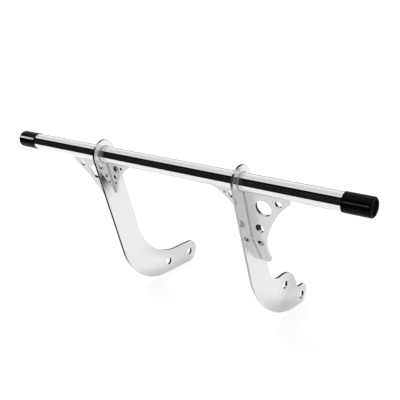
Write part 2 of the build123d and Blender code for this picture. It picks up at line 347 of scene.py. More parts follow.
def left_of(loop):
    """The unit direction to the left of the way at each point of a closed loop."""
    along = np.roll(loop, -1, axis=0) - np.roll(loop, 1, axis=0)
    along /= np.linalg.norm(along, axis=1, keepdims=True)
    return np.stack([-along[:, 1], along[:, 0]], axis=1)


print("an edge has", 2 * EDGE_STEPS, "rows of points")

# %% Tell inside from outside
CLEAR_OF_LOOPS = 0.6


def signed_area(loop):
    """Half the sum of x1 y2 - x2 y1 round a loop: above 0 where it runs anticlockwise."""
    after = np.roll(loop, -1, axis=0)
    return (loop[:, 0] * after[:, 1] - after[:, 0] * loop[:, 1]).sum() / 2


def within(points, loops):
    """Which points lie inside the plate: a line from each to the right crosses its loops an odd number of times."""
    odd = np.zeros(len(points), bool)
    for loop in loops:
        a, b = loop[None, :, :], np.roll(loop, -1, axis=0)[None, :, :]
        y = points[:, None, 1]
        spans = (a[..., 1] > y) != (b[..., 1] > y)
        rise = np.where(spans, b[..., 1] - a[..., 1], 1)
        x = a[..., 0] + (y - a[..., 1]) / rise * (b[..., 0] - a[..., 0])
        odd ^= (np.sum(spans & (x > points[:, None, 0]), axis=1) % 2).astype(bool)
    return odd


def grid_within(loops, step):
    """Points of a square grid that lie inside the plate and clear of its loops."""
    low, high = loops[0].min(axis=0), loops[0].max(axis=0)
    across, down = np.meshgrid(np.arange(low[0], high[0], step), np.arange(low[1], high[1], step))
    points = np.stack([across.ravel(), down.ravel()], axis=1)
    points = points[within(points, loops)]
    border = np.vstack(loops)
    gap = np.sqrt(((points[:, None, :] - border[None, :, :]) ** 2).sum(axis=2)).min(axis=1)
    return points[gap > CLEAR_OF_LOOPS * step]


sample_grid = grid_within([sample], 2 * MM)
print("the hole's disc covers", len(sample_grid), "points of a 2 mm grid")

# %% Fill a face with triangles
SNAP = 1e-9


def filled(loops, inner):
    """Triangles between the loops and the inner points, as numbers of points counted in that order."""
    points = np.vstack([*loops, inner])
    first = np.cumsum([0] + [len(loop) for loop in loops])
    edges = [
        np.stack([start + np.arange(len(loop)), start + (np.arange(len(loop)) + 1) % len(loop)], axis=1)
        for start, loop in zip(first, loops)
    ]
    corners, _, triangles, *_ = delaunay_2d_cdt(
        [Vector(point) for point in points], np.vstack(edges).tolist(), [], 0, SNAP
    )
    assert len(corners) == len(points), "a loop crosses itself"
    triangles = np.array(triangles)
    return triangles[within(points[triangles].mean(axis=1), loops)]


print("and is filled with", len(filled([sample], sample_grid)), "triangles")

# %% Cut one plate
EDGE_SOFT = 0.5 * MM
HOLE_SOFT = 0.4 * MM
FACE_STEP = 5 * MM
WALL_SHARE = 0.9


def plate(node, outline, holes, thickness, place, dull_and_shaded):
    """A plate with a softened edge round its outline and holes. place(a, b, h) sets drawing points in space.
    The last argument, a function of (outward, hole), says how dull an edge is left, 0 to 1, and so how much painted
    shade it carries, by the way it faces in the drawing."""
    loops = [evenly(loop) for loop in [outline, *holes]]
    loops = [loop if (signed_area(loop) > 0) == (i == 0) else loop[::-1] for i, loop in enumerate(loops)]
    rims, cut_and_shade_values, faces, inset_loops = [], [], [], []
    upper, lower, count = [], [], 0
    for number, loop in enumerate(loops):
        profile = edge_profile(thickness, HOLE_SOFT if number else EDGE_SOFT)
        inset, height = profile[:, :1, None], profile[:, 1:]
        flat_points = loop[None] + left_of(loop)[None] * inset
        rims.append(place(flat_points[..., 0], flat_points[..., 1], height).reshape(-1, 3))
        wall = np.abs(height) < WALL_SHARE * thickness / 2
        # Only the edge's wall takes the dull value, and with it the painted shade.
        cut_and_shade_values.append((wall * dull_and_shaded(-left_of(loop), number > 0)).ravel())
        faces += (woven(len(profile), len(loop), False, True) + count).tolist()
        upper.append(count + np.arange(len(loop)))
        lower.append(count + (len(profile) - 1) * len(loop) + np.arange(len(loop)))
        inset_loops.append(flat_points[0])
        count += len(profile) * len(loop)
    inner = grid_within(inset_loops, FACE_STEP)
    for height, ring in ((thickness / 2, upper), (-thickness / 2, lower)):
        rims.append(place(inner[:, 0], inner[:, 1], np.full(len(inner), height)))
        cut_and_shade_values.append(np.zeros(len(inner)))
        ring.append(count + np.arange(len(inner)))
        count += len(inner)
    triangles = filled(inset_loops, inner)
    sides = [np.concatenate(upper)[triangles], np.concatenate(lower)[triangles]]
    return piece(node, np.vstack(rims), faces, np.vstack(sides).tolist(), np.concatenate(cut_and_shade_values))


print(f"edges are softened by {EDGE_SOFT / MM:.1f} mm, and holes by {HOLE_SOFT / MM:.1f} mm")

# %% [markdown]
# ## The brackets
# Each bracket is one flat plate: an eye round the tube, an arm as wide as the eye that leans back, and a tab
# with two bolt holes. The left tab is a plain straight one with a round end. The right tab has a shoulder over
# its near hole and a notch before a low round lobe, because the two sides of an engine differ.

# %% Sizes of the brackets
HALF_WIDTH = EYE_R
BOLT_R = 8 * MM
EYE_GAP = 0.1 * MM
LEFT_END = (263 * MM, TAB_BOTTOM + 25.5 * MM)
LEFT_HOLES = [(188 * MM, LEFT_END[1]), LEFT_END]
LEFT_HEEL, LEFT_CROOK = 137 * MM, 130 * MM
RIGHT_END = (229.5 * MM, TAB_BOTTOM + 20.5 * MM)
RIGHT_HOLES = [(159.5 * MM, -245.5 * MM), (RIGHT_END[0], RIGHT_END[1] - 3 * MM)]
RIGHT_HEEL, RIGHT_CROOK = 183 * MM, 42 * MM
RIGHT_SHOULDER, SHOULDER_ROUND = (181.5 * MM, -218 * MM), 51 * MM
CROOK_DIP = 5.5 * MM
NOTCH_INSET, NOTCH_ROUND = 18 * MM, 6 * MM
for side, holes in (("left", LEFT_HOLES), ("right", RIGHT_HOLES)):
    print(f"the {side} bolts are {np.linalg.norm(np.subtract(*holes)) / MM:.1f} mm apart")

# %% Draw the brackets
def arm_edge(across, height):
    """Where a line along the arm, so far back from its middle, reaches a height, as (y, z)."""
    along = (height - across * BACK[2]) / DOWN[2]
    return (across * BACK[1] + along * DOWN[1], height)


def bracket_outline(end, heel, upper):
    """Eye, front edge, heel, round tab end, then the upper corners forward to the rear edge and over the eye."""
    radius = end[1] - TAB_BOTTOM
    front_eye, rear_eye = -HALF_WIDTH * BACK[1:], HALF_WIDTH * BACK[1:]
    corners, radii = zip(*upper)
    return np.vstack([
        rounded([front_eye, arm_edge(-HALF_WIDTH, TAB_BOTTOM), (end[0], TAB_BOTTOM)], [heel]),
        arc(end, radius, -pi / 2, pi / 2),
        rounded([(end[0], end[1] + radius), *corners, rear_eye], radii),
        arc((0, 0), HALF_WIDTH, ARM_LEAN, ARM_LEAN + pi),
    ])


LEFT_OUTLINE = bracket_outline(LEFT_END, LEFT_HEEL, [
    (arm_edge(HALF_WIDTH, 2 * LEFT_END[1] - TAB_BOTTOM), LEFT_CROOK),
])
RIGHT_OUTLINE = bracket_outline(RIGHT_END, RIGHT_HEEL, [
    ((RIGHT_END[0] - NOTCH_INSET, 2 * RIGHT_END[1] - TAB_BOTTOM), NOTCH_ROUND),
    (RIGHT_SHOULDER, SHOULDER_ROUND),
    (arm_edge(HALF_WIDTH, RIGHT_SHOULDER[1] - CROOK_DIP), RIGHT_CROOK),
])
print("outlines of", len(LEFT_OUTLINE), "and", len(RIGHT_OUTLINE), "points")

# %% [markdown]
# A buffing wheel reaches faces easily, narrow edges less so, and the insides of holes hardly at all. So every
# edge gets a dullness by the way it faces in the drawing, and its dark tone is painted shade on the sides that
# look up or forward. The chrome reads it later as its cut value. It could be painted by hand. Taken from the
# direction, it is right for every edge and hole at once.

# %% How dull, and how darkly shaded, an edge is left
def ramp(share, start, width):
    """Rises from 0 to 1 as a share passes from start to start + width."""
    return np.clip((share - start) / width, 0, 1)


def facing(share):
    """0 for an edge turned away from a direction, 1 for one that looks nearly straight along it."""
    return ramp(share, start=0.75, width=0.2)


print("dullness at 0, 30 and 60 degrees off:", facing(np.cos(np.radians([0, 30, 60]))).round(2))

# %% Cut the brackets
# The way, in the drawing, of a hole's side that takes painted shade.
UP_AND_FORWARD = (-0.7, 0.7)


def bracket_piece(side, outline, holes, front_dull_and_shade, glint):
    """One plate standing square to the bar, bored for the tube and drilled for its bolts."""
    middle = SIDES[side] * PLATE_X

    def upright(a, b, h):
        """The drawing's two directions are y and z, and its height is x, from the middle of the plate."""
        return np.stack(np.broadcast_arrays(middle + h, a, b), axis=-1)

    def dull_and_shaded(outward, hole):
        """Painted shade on dull metal: a dark tone on edges that look up, and a share of it on those that look
        forwards.
        In a hole it lies on the low rear side, which looks up and forward. Where glint is 1 it leaves a gap in the
        middle of that side, so that the mirror shows a glint there."""
        if hole:
            share = outward @ UP_AND_FORWARD
            return ramp(share, start=-0.1, width=0.4) * (1 - glint * ramp(share, start=0.9, width=0.05))
        return np.maximum(front_dull_and_shade * facing(-outward[:, 0]), facing(outward[:, 1]))

    bores = [circle((0, 0), TUBE_R + EYE_GAP), *(circle(hole, BOLT_R) for hole in holes)]
    return plate(f"{side}_bracket", outline, bores, PLATE_T, upright, dull_and_shaded)


# Painted shade: full on the left front edge and less on the right one. Only the right holes keep a gap in it, where
# the mirror shows a glint.
pieces.append(bracket_piece("left", LEFT_OUTLINE, LEFT_HOLES, front_dull_and_shade=1, glint=0))
pieces.append(bracket_piece("right", RIGHT_OUTLINE, RIGHT_HOLES, front_dull_and_shade=0.4, glint=1))

# %% [markdown]
# ## The gussets
# A gusset braces the tube against an arm. It lies in the plane of the tube and the leaning arm, and its free
# side is a hollow arc. The large outer one follows the arm further down, so its tail is bent back at a knee.
# The drawing is flat. The bend is added as it is set in space: past the knee the sheet drifts back by
# tan(tail angle) for each step down, with a short parabola between so that the mirror has no crease.

# %% Set a flat drawing on a bracket
KNEE = 118 * MM
KNEE_HALF = 4 * MM
TAIL_ANGLE = radians(15)


def gusset_place(side, way, tail):
    """Returns the placing of a drawing of (out from the arm, down it) on the face of a bracket that looks one way
    along the bar, 1 or -1."""
    face = SIDES[side] * PLATE_X + way * PLATE_T / 2

    def leaning(out, depth, height):
        """Down the arm by the depth, and back by the drift and by the height, which tips with the slope."""
        share = np.clip((depth - KNEE + KNEE_HALF) / (2 * KNEE_HALF), 0, 1) * (tail != 0)
        slope = np.arctan(tan(tail) * share)
        drift = tan(tail) * (KNEE_HALF * share**2 + np.maximum(depth - KNEE - KNEE_HALF, 0))
        back = drift + height * np.cos(slope)
        down = depth - height * np.sin(slope)
        x = np.broadcast_to(face + way * out, back.shape)
        return np.stack([x, down * DOWN[1] + back * BACK[1], down * DOWN[2] + back * BACK[2]], axis=-1)

    return leaning


print(f"a tail leans back by {degrees(ARM_LEAN + TAIL_ANGLE):.0f} degrees")

# %% Draw a gusset
GUSSET_T = 5 * MM
GUSSET_TOP = TUBE_R + 0.1 * MM
GUSSET_SOFT = 0.6 * MM
CORNER_CLIP = 2.4 * MM
TAIL_DEPTH = 61 * MM * cos(TAIL_ANGLE)


def gusset_outline(reach, tip_slant, tip_depth, depth, toe, toe_round, hollow):
    """Root along the arm, clipped corner, top along the tube, blunt tip, hollow free edge and rounded toe."""
    middle = (0, depth / 2)
    tip = (reach - tip_slant, tip_depth)
    upper = [
        middle, (0, GUSSET_TOP + CORNER_CLIP), (CORNER_CLIP, GUSSET_TOP), (reach, GUSSET_TOP), tip,
    ]
    toe_start = (toe[0], depth - toe[1])
    return np.vstack([
        rounded(upper, [GUSSET_SOFT] * 3),
        hollow_arc(tip, toe_start, hollow),
        rounded([toe_start, (toe[0], depth), (0, depth), middle], [toe_round, GUSSET_SOFT]),
    ])


OUTER_OUTLINE = gusset_outline(
    reach=91 * MM, tip_slant=5 * MM, tip_depth=TUBE_R + 12 * MM, depth=KNEE + TAIL_DEPTH,
    toe=(20.5 * MM, 11 * MM), toe_round=6 * MM, hollow=16 * MM,
)
INNER_OUTLINE = gusset_outline(
    reach=61 * MM, tip_slant=1 * MM, tip_depth=TUBE_R + 2.5 * MM, depth=88 * MM,
    toe=(5 * MM, 4 * MM), toe_round=1.5 * MM, hollow=8 * MM,
)
print("outlines of", len(OUTER_OUTLINE), "and", len(INNER_OUTLINE), "points")

# %% Cut the four gussets
# The way, in the drawing, of the spot low in a gusset's hole that takes painted shade.
IN_AND_UP = (-0.4, -0.917)
OUTER_HOLES = [
    circle((34.3 * MM, TUBE_R + 29.8 * MM), 15.25 * MM),
    circle((65.4 * MM, TUBE_R + 14.7 * MM), 6.25 * MM),
    circle((19.4 * MM, KNEE - 27.6 * MM), 8.25 * MM),
    circle((14.4 * MM, KNEE + 6.2 * MM), 5.75 * MM),
]
INNER_HOLES = [
    circle((21 * MM, TUBE_R + 13.4 * MM), 7.25 * MM),
    circle((34.7 * MM, TUBE_R + 10.4 * MM), 3 * MM),
    circle((11.8 * MM, 49 * MM), 4.25 * MM),
    circle((8.1 * MM, 63.2 * MM), 2.5 * MM),
]


def gusset_dull_and_shaded(outward, hole):
    """In the holes only: dull metal, whose dark tone is painted shade, on the side of a hole that looks out from
    the arm and on a spot low in it that looks in and up."""
    side = ramp(outward[:, 0], start=-0.1, width=0.4) * (1 - facing(-outward[:, 1]))
    corner = ramp(outward @ IN_AND_UP, start=0.95, width=0.03)
    return hole * np.maximum(side, corner)


for side, sign in SIDES.items():
    for name, way, tail, outline, holes in (
        ("outer", sign, TAIL_ANGLE, OUTER_OUTLINE, OUTER_HOLES),
        ("inner", -sign, 0, INNER_OUTLINE, INNER_HOLES),
    ):
        place = gusset_place(side, way, tail)
        pieces.append(plate(f"{side}_{name}_gusset", outline, holes, GUSSET_T, place, gusset_dull_and_shaded))

# %% [markdown]
# ## The welds
# A fillet weld fills the corner where two pieces meet, and its surface keeps the little overlapping waves of
# the pool that froze behind the torch. Chrome covers it with the rest. Each bead is a profile carried along a
# path: two legs from the corner, a crown between their toes, and a wave along the way that bends like a chevron.

# %% Carry a bead along a corner
CROWN_STEPS = 9
CROWN, WAVE, ROOT = 0.10, 0.05, 0.04
WAVE_PITCH = 1.9 * MM
CHEVRON = 0.9
TAPER = 2.5 * MM


def bead(corner, leg_a, leg_b, closed=False):
    """Points and faces of a bead along corner points. Between the toes, with v from 0 to 1, the surface is
    (1 - v) leg_a + v leg_b, raised by a crown of sin(pi v) and waves along the way. Open ends taper to nothing."""
    step = np.linalg.norm(np.diff(corner, axis=0), axis=1)
    way = np.concatenate([[0], np.cumsum(step)])[None, :, None]
    to_end = np.minimum(way, way[:, -1:] - way) / TAPER
    size = 1.0 if closed else np.sqrt(1 - (1 - np.clip(to_end, 0, 1)) ** 2)
    v = np.linspace(0, 1, CROWN_STEPS)[:, None, None]
    waves = np.sin(TURN * (way / WAVE_PITCH + CHEVRON * (v - 0.5) ** 2))
    crown = np.sin(pi * v) * (CROWN + WAVE * waves)
    toes = (1 - v) * leg_a + v * leg_b
    surface = corner[None] + size * (toes + crown * (leg_a + leg_b))
    root = corner[None] - ROOT * size * (leg_a + leg_b)
    points = np.concatenate([surface, root])
    faces = woven(len(points), points.shape[1], True, closed)
    return points.reshape(-1, 3), faces


def weld_piece(node, beads):
    """All the beads of one node in one mesh."""
    starts = np.cumsum([0] + [len(points) for points, _ in beads])
    faces = np.vstack([faces + start for (_, faces), start in zip(beads, starts)])
    return piece(node, np.vstack([points for points, _ in beads]), faces.tolist())


print(f"a bead has a wave every {WAVE_PITCH / MM:.1f} mm")

# %% Round an eye
EYE_LEG = 1.6 * MM
EYE_STEPS = 360
ALONG_BAR = np.array([1.0, 0, 0])


def eye_bead(face, way):
    """A ring round the tube: one leg out along it, the other up the plate."""
    angle = np.linspace(0, TURN, EYE_STEPS, endpoint=False)[:, None]
    radial = np.cos(angle) * [0, 1, 0] + np.sin(angle) * [0, 0, 1]
    return bead(face * ALONG_BAR + TUBE_R * radial, way * EYE_LEG * ALONG_BAR, EYE_LEG * radial, closed=True)


print(f"a bead round an eye is {TURN * TUBE_R / MM:.0f} mm long")

# %% Along a gusset
SEAM_LEG = 1.8 * MM
SEAM_STEP = 0.3 * MM
SEAM_START = CORNER_CLIP + 0.4 * MM


def run(start, end):
    """Points along a straight corner."""
    count = int(np.linalg.norm(end - start) / SEAM_STEP)
    return start + np.linspace(0, 1, count)[:, None] * (end - start)


def tube_beads(face, way, end):
    """The two beads between a gusset's faces and the tube's underside."""
    beads = []
    half, toe = GUSSET_T / 2, GUSSET_T / 2 + SEAM_LEG
    root_depth, toe_depth = np.sqrt(TUBE_R**2 - half**2), np.sqrt(TUBE_R**2 - toe**2)
    for back in (1, -1):
        corner = back * half * BACK + root_depth * DOWN
        start = (face + way * SEAM_START) * ALONG_BAR + corner
        stop = (face + way * end) * ALONG_BAR + corner
        leg_on_tube = back * SEAM_LEG * BACK + (toe_depth - root_depth) * DOWN
        beads.append(bead(run(start, stop), SEAM_LEG * DOWN, leg_on_tube))
    return beads


def arm_beads(face, way, lean, origin, start, end):
    """The two beads between a gusset's faces and the arm, along one straight stretch of its root."""
    down = np.array([0, sin(lean), -cos(lean)])
    back = np.array([0, cos(lean), sin(lean)])
    beads = []
    for behind in (1, -1):
        corner = face * ALONG_BAR + origin + behind * GUSSET_T / 2 * back
        legs = (way * SEAM_LEG * ALONG_BAR, behind * SEAM_LEG * back)
        beads.append(bead(run(corner + start * down, corner + end * down), *legs))
    return beads


print(f"seams start {SEAM_START / MM:.1f} mm from the corner that the gusset's clip leaves free")

# %% Weld the eyes and the gussets
OUTER_TUBE_END, INNER_TUBE_END = 85.6 * MM, 59.6 * MM
SEAM_TOP = GUSSET_TOP + SEAM_START
KNEE_GAP = 2.2 * MM
TAIL_END = 56 * MM
INNER_ARM_END = 87.6 * MM

for side, sign in SIDES.items():
    for name, way, tube_end in (("outer", sign, OUTER_TUBE_END), ("inner", -sign, INNER_TUBE_END)):
        face = sign * PLATE_X + way * PLATE_T / 2
        if name == "outer":
            arm = arm_beads(face, way, ARM_LEAN, 0 * DOWN, SEAM_TOP, KNEE - KNEE_GAP)
            arm += arm_beads(face, way, ARM_LEAN + TAIL_ANGLE, KNEE * DOWN, KNEE_GAP, TAIL_END)
        else:
            arm = arm_beads(face, way, ARM_LEAN, 0 * DOWN, SEAM_TOP, INNER_ARM_END)
        pieces.append(weld_piece(f"{side}_eye_{name}_weld", [eye_bead(face, way)]))
        pieces.append(weld_piece(f"{side}_{name}_gusset_tube_weld", tube_beads(face, way, tube_end)))
        pieces.append(weld_piece(f"{side}_{name}_gusset_arm_weld", arm))

# %% [markdown]
# ## The chrome finish
# Chrome is a mirror with a slightly cool grey, so its colour is one number and everything else is in how even
# it is. A shared group of nodes gives each chrome material three small things that change over the surface:
# cloudy wiping marks in the roughness, a faint orange-peel swell, and duller, darker metal on sawn edges and in
# holes, where the dark tone is painted shade.

# %% Links and noise
CLOUD_SCALE, CLOUD_DETAIL = 28, 3
GRAIN_SCALE, GRAIN_DETAIL = 260, 2


def linked(tree, source, target):
    """A link from one node's output to another's input."""
    tree.links.new(source, target)


def noise(tree, where, scale, detail=2):
    """Noise of one size over the places that a socket gives."""
    made = tree.nodes.new("ShaderNodeTexNoise")
    made.inputs["Scale"].default_value = scale
    made.inputs["Detail"].default_value = detail
    linked(tree, where, made.inputs["Vector"])
    return made.outputs["Fac"]


print(f"a cloud is about {1 / CLOUD_SCALE / MM:.0f} mm wide, and a grain {1 / GRAIN_SCALE / MM:.0f} mm")

# %% A group for the polish
# A Mix node keeps its colour inputs at these places, and its colour result at the last one.
COLOUR_A, COLOUR_B, COLOUR_RESULT = 6, 7, 2
POLISH_SOCKETS = {
    "INPUT": {
        "Where": "Vector", "Cut": "Float", "Bright": "Color", "Cut Tone": "Color",
        "Gloss": "Float", "Haze": "Float", "Cut Roughness": "Float",
    },
    "OUTPUT": {"Color": "Color", "Roughness": "Float", "Swell": "Float"},
}


def polish_group():
    """Noise of two sizes: a coarse cloud for haze and a fine grain for swell, and a darker tone, painted shade on
    dull metal, where cut is 1.
    """
    group = bpy.data.node_groups.new("plated_polish", "ShaderNodeTree")
    for way, sockets in POLISH_SOCKETS.items():
        for name, kind in sockets.items():
            group.interface.new_socket(name=name, in_out=way, socket_type=f"NodeSocket{kind}")
    nodes = group.nodes
    given, result = nodes.new("NodeGroupInput").outputs, nodes.new("NodeGroupOutput").inputs
    haze, dull, tone = (nodes.new(f"ShaderNode{kind}") for kind in ("Math", "Mix", "Mix"))
    haze.operation = "MULTIPLY_ADD"
    linked(group, noise(group, given["Where"], CLOUD_SCALE, CLOUD_DETAIL), haze.inputs[0])
    linked(group, given["Haze"], haze.inputs[1])
    linked(group, given["Gloss"], haze.inputs[2])
    linked(group, given["Cut"], dull.inputs["Factor"])
    linked(group, haze.outputs[0], dull.inputs["A"])
    linked(group, given["Cut Roughness"], dull.inputs["B"])
    tone.data_type = "RGBA"
    linked(group, given["Cut"], tone.inputs["Factor"])
    linked(group, given["Bright"], tone.inputs[COLOUR_A])
    linked(group, given["Cut Tone"], tone.inputs[COLOUR_B])
    linked(group, tone.outputs[COLOUR_RESULT], result["Color"])
    linked(group, dull.outputs[0], result["Roughness"])
    linked(group, noise(group, given["Where"], GRAIN_SCALE, GRAIN_DETAIL), result["Swell"])
    return group


POLISH = polish_group()
print("polish group:", len(POLISH.nodes), "nodes")

# %% [markdown]
# The materials differ in how they were polished. The tube was ground on a belt and buffed, so it is the
# clearest mirror. Plates keep a little haze, gussets a little more, and a weld can't be buffed at all. Their
# bright colours step down in the same order, which is painted shade, as all of them carry one plating.

# %% The chrome materials
# The dark tone of dull cut metal, also used as painted shade on the edges and holes that face a given way.
CUT_AND_SHADE_TONE = (0.02, 0.02, 0.021)
CUT_ROUGHNESS = 0.8
CHROME_SWELL = 0.0006 * MM


def chrome(slot, bright, gloss, haze):
    """Plated metal: a Principled shader whose colour, roughness and swell come from the shared polish group."""
    material = bpy.data.materials.new(slot)
    material.use_nodes = True
    tree = material.node_tree
    shader = tree.nodes["Principled BSDF"]
    shader.inputs["Metallic"].default_value = 1
    polish = tree.nodes.new("ShaderNodeGroup")
    polish.node_tree = POLISH
    place = tree.nodes.new("ShaderNodeTexCoord")
    cut = tree.nodes.new("ShaderNodeAttribute")
    cut.attribute_name = "cut"
    for name, value in (
        ("Bright", (*bright, 1)), ("Cut Tone", (*CUT_AND_SHADE_TONE, 1)), ("Gloss", gloss), ("Haze", haze),
        ("Cut Roughness", CUT_ROUGHNESS),
    ):
        polish.inputs[name].default_value = value
    bump = tree.nodes.new("ShaderNodeBump")
    bump.inputs["Distance"].default_value = CHROME_SWELL
    linked(tree, place.outputs["Object"], polish.inputs["Where"])
    linked(tree, cut.outputs["Fac"], polish.inputs["Cut"])
    linked(tree, polish.outputs["Color"], shader.inputs["Base Color"])
    linked(tree, polish.outputs["Roughness"], shader.inputs["Roughness"])
    linked(tree, polish.outputs["Swell"], bump.inputs["Height"])
    linked(tree, bump.outputs["Normal"], shader.inputs["Normal"])
    return material


# The plates, gussets and welds have lower bright colours than the tube. This is painted shade on one plating.
MATERIALS = {
    "bar_chrome": chrome("bar_chrome", (0.86, 0.86, 0.87), gloss=0.008, haze=0.012),
    "bracket_chrome": chrome("bracket_chrome", (0.755, 0.755, 0.765), gloss=0.05, haze=0.05),
    "gusset_chrome": chrome("gusset_chrome", (0.70, 0.70, 0.71), gloss=0.18, haze=0.10),
    "weld_chrome": chrome("weld_chrome", (0.44, 0.44, 0.45), gloss=0.3, haze=0.1),
}
print("grades of chrome:", len(MATERIALS))

# %% [markdown]
# ## The caps' vinyl
# Such a cap is made by dipping a form into liquid vinyl and curing the coat. It comes out black and smooth, with
# a very fine grain, and gives back so little light that only a bright card leaves a mark on it. Handling makes
# it a little glossier in some places than in others. Two sizes of noise give both.

# %% The vinyl material
VINYL_SPECULAR = 0.05
VINYL_GLOSS = (0.06, 0.1)
VINYL_TONES = ((0.002, 0.002, 0.0022, 1), (0.006, 0.006, 0.0064, 1))
HANDLING_SCALE, SKIN_SCALE = 60, 1800
SKIN_DEPTH = 0.001 * MM


def vinyl(slot):
    """Near-black plastic: coarse noise shifts its gloss and tone, and fine noise gives the skin its grain."""
    material = bpy.data.materials.new(slot)
    material.use_nodes = True
    tree = material.node_tree
    shader = tree.nodes["Principled BSDF"]
    shader.inputs["Specular IOR Level"].default_value = VINYL_SPECULAR
    place, gloss, tone, bump = (
        tree.nodes.new(f"ShaderNode{kind}") for kind in ("TexCoord", "MapRange", "ValToRGB", "Bump")
    )
    handling = noise(tree, place.outputs["Object"], HANDLING_SCALE)
    gloss.inputs["To Min"].default_value, gloss.inputs["To Max"].default_value = VINYL_GLOSS
    for stop, colour in zip(tone.color_ramp.elements, VINYL_TONES):
        stop.color = colour
    bump.inputs["Distance"].default_value = SKIN_DEPTH
    linked(tree, handling, gloss.inputs["Value"])
    linked(tree, handling, tone.inputs["Fac"])
    linked(tree, noise(tree, place.outputs["Object"], SKIN_SCALE), bump.inputs["Height"])
    linked(tree, gloss.outputs["Result"], shader.inputs["Roughness"])
    linked(tree, tone.outputs["Color"], shader.inputs["Base Color"])
    linked(tree, bump.outputs["Normal"], shader.inputs["Normal"])
    return material


MATERIALS["cap_rubber"] = vinyl("cap_rubber")
for made in pieces:
    made.data.materials.append(MATERIALS[made["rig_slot"]])
print("finishes:", sorted(MATERIALS))

# %% [markdown]
# ## The studio floor
# Chrome has no look of its own, so the studio is the rest of the finish. The bar stands on white paper. The
# picture should see that paper nearly white, with a faint shadow, and mirrors need a little more of the shadow
# to look right. So the paper is two sheets in one material, and Is Camera Ray chooses between them.

# %% Stage pieces
FLOOR_Z = CAD_BOX[0][2]
SQUARE = [(0, 1, 2, 3)]


def stage_mesh(name, points, faces, material):
    """A mesh that belongs to the studio and not to the bar."""
    mesh = bpy.data.meshes.new(name)
    mesh.from_pydata(np.asarray(points).tolist(), [], faces)
    made = bpy.data.objects.new(name, mesh)
    bpy.context.scene.collection.objects.link(made)
    made.data.materials.append(material)
    return made


def bare_material(name):
    """A material without its usual shader. Returns it, its nodes' tree and the socket for the surface."""
    material = bpy.data.materials.new(name)
    material.use_nodes = True
    tree = material.node_tree
    tree.nodes.remove(tree.nodes["Principled BSDF"])
    return material, tree, tree.nodes["Material Output"].inputs["Surface"]


print(f"the bar stands at z = {FLOOR_Z / MM:.1f} mm")

# %% Lay the paper
FLOOR_HALF = 40
MIRRORED_PAPER = {"shade": 0.6, "glow": 0.42}
SEEN_PAPER = {"shade": 0.18, "glow": 0.86}


def paper():
    """White paper: each sheet is diffuse paper with a glow of its own added."""
    material, tree, surface = bare_material("white_paper")
    both = tree.nodes.new("ShaderNodeMixShader")
    for number, kind in enumerate((MIRRORED_PAPER, SEEN_PAPER), start=1):
        lit, white, sheet = (
            tree.nodes.new(f"ShaderNode{node}") for node in ("BsdfDiffuse", "Emission", "AddShader")
        )
        lit.inputs["Color"].default_value = (kind["shade"], kind["shade"], kind["shade"], 1)
        white.inputs["Strength"].default_value = kind["glow"]
        linked(tree, lit.outputs[0], sheet.inputs[0])
        linked(tree, white.outputs[0], sheet.inputs[1])
        linked(tree, sheet.outputs[0], both.inputs[number])
    seen = tree.nodes.new("ShaderNodeLightPath")
    linked(tree, seen.outputs["Is Camera Ray"], both.inputs["Fac"])
    linked(tree, both.outputs[0], surface)
    return material


floor_corners = [(x * FLOOR_HALF, y * FLOOR_HALF, FLOOR_Z) for x, y in ((-1, -1), (1, -1), (1, 1), (-1, 1))]
stage_mesh("paper_floor", floor_corners, SQUARE, paper())
print(f"paper {2 * FLOOR_HALF} m across")

# %% [markdown]
# ## Cloth that only mirrors see
# Photographers shape chrome with black and white cloth hung round it. Here one material serves for all of it.
# A cloth's points carry its tone, and its cover, which is how much of it hides what is behind. The camera
# doesn't see it and it casts no shadow, so it shows only in what is polished.

# %% Hang a cloth
BLACK = 0.012


def cloth(name):
    """Cloth that glows with its tone where its cover is 1, and is clear where that is 0."""
    material, tree, surface = bare_material(name)
    glow, clear, both = (
        tree.nodes.new(f"ShaderNode{kind}") for kind in ("Emission", "BsdfTransparent", "MixShader")
    )
    for carried_name, target in (("tone", glow.inputs["Strength"]), ("cover", both.inputs["Fac"])):
        carried = tree.nodes.new("ShaderNodeAttribute")
        carried.attribute_name = carried_name
        linked(tree, carried.outputs["Fac"], target)
    linked(tree, clear.outputs[0], both.inputs[1])
    linked(tree, glow.outputs[0], both.inputs[2])
    linked(tree, both.outputs[0], surface)
    return material


CLOTH = cloth("studio_cloth")


def hanging(name, points, faces, tone, cover=1.0):
    """A piece of cloth with a tone and a cover for each point, or one of each for all."""
    card = stage_mesh(name, points, faces, CLOTH)
    for carried_name, value in (("tone", tone), ("cover", cover)):
        values = np.broadcast_to(value, len(points)).astype(np.float32)
        card.data.attributes.new(carried_name, "FLOAT", "POINT").data.foreach_set("value", values)
    card.visible_camera = card.visible_shadow = card.visible_transmission = False
    print(f"{name}: {len(points)} points")
    return card


print("one material for every cloth:", CLOTH.name)

# %% [markdown]
# ## The light tent
# The tent is curved about the bar's own axis, so a tone at one angle becomes a straight line along the tube.
# In front it is black, from below the bar to well above it, which draws the tube's one dark stripe. Overhead
# it is nearly white. A narrow gap in the black, off to the right, gives the left eye its bright ring: the plate
# there mirrors the tube, and the tube mirrors the gap. Further right the black is greyer, for the other eye.

# %% Put up the tent
TENT_R = 0.54
TENT_STEPS = 361
TENT_TONES = [
    (-34.5, BLACK), (8, BLACK), (19, 1.6 * BLACK), (30, BLACK), (45, 0.4 * BLACK), (56, 0.4 * BLACK),
    (57, 0.80), (70, 0.79), (87, 0.73), (111, 0.82), (125, 0.98), (142, 1.12),
]
TENT_LIFTS = [
    (-3, 0), (0.356, 0), (0.364, 0.95), (0.392, 0.95), (0.4, 0), (0.487, 0), (0.493, 0.14), (3, 0.14),
]


